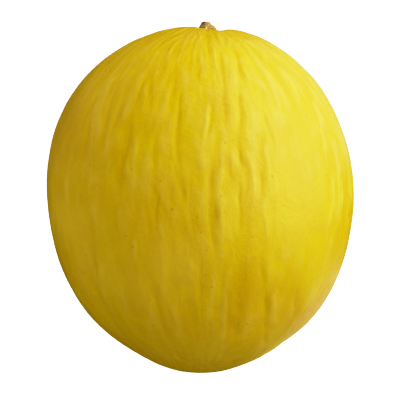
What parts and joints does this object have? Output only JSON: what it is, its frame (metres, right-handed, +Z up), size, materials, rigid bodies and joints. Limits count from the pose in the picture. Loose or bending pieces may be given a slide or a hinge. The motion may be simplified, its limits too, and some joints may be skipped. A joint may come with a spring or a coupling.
{
  "type": "melon",
  "caption": "Whole yellow winter melon with a lengthwise wrinkled rind and a short dry stalk stub, standing upright on a small flat spot",
  "frame": {"origin": "middle of the small flat resting spot at the blossom end", "axes": "+Z up along the fruit from the blossom end to the stalk, -Y is the side that faces the camera, +X is to the right in that view"},
  "size_m": [0.1499, 0.1491, 0.1704],
  "materials": {
    "rind": "satin",
    "dry_stalk": "matte"
  },
  "bodies": {
    "root": {"melon_fruit": "rind", "stalk_stub": "dry_stalk"}
  },
  "joints": []
}
